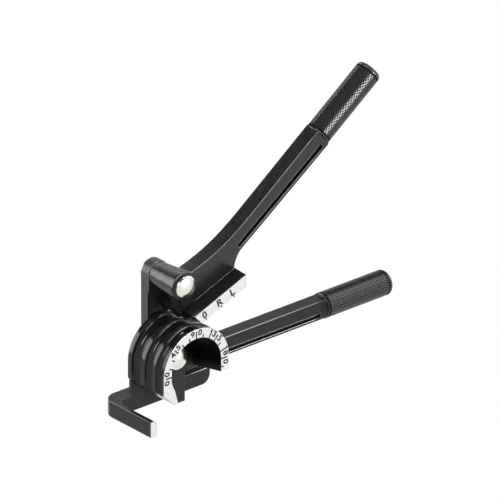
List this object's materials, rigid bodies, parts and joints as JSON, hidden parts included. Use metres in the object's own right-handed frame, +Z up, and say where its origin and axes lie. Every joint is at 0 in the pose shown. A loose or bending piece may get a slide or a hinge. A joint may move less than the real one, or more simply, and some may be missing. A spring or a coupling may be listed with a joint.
{
  "type": "tube bender",
  "caption": "Hand lever tube bender: a grooved horseshoe die with a degree dial and hook on a lower handle, and a bending lever with a grooved shoe on a swinging link.",
  "frame": {"origin": "on the forming die's axis, in the plane of the dial's face", "axes": "+X along the lower handle towards its grip, +Y along the die's axis away from the dial, +Z up along the link"},
  "size_m": [0.2469, 0.054, 0.2081],
  "materials": {
    "black_casting": "satin black paint over a cast grain",
    "gloss_black_casting": "glossy black paint over turned grooves, bare ground dial face",
    "black_grip": "satin black, diamond knurled",
    "nickel": "bright nickel plate",
    "plain_steel": "plain zinc-plated steel"
  },
  "bodies": {
    "frame": {"lower_handle": "black_casting", "lower_grip": "black_grip", "forming_die": "gloss_black_casting", "die_screws": "plain_steel", "main_pivot_pin": "nickel", "main_thrust_washer": "plain_steel", "main_tail_washer": "plain_steel"},
    "link": {"link_arm": "black_casting", "lever_pivot_pin": "nickel", "lever_thrust_washer": "plain_steel", "lever_tail_washer": "plain_steel"},
    "lever": {"bending_lever": "black_casting", "lever_grip": "black_grip"}
  },
  "joints": [
    {"name": "link_swing", "type": "hinge", "parent": "frame", "child": "link", "pos_m": [0, 0.043, 0], "axis": [0, 1, 0], "range_deg": [-90, 90]},
    {"name": "lever_swing", "type": "hinge", "parent": "link", "child": "lever", "pos_m": [0, 0.02, 0.056], "axis": [0, 1, 0], "range_deg": [-150, 21]}
  ]
}
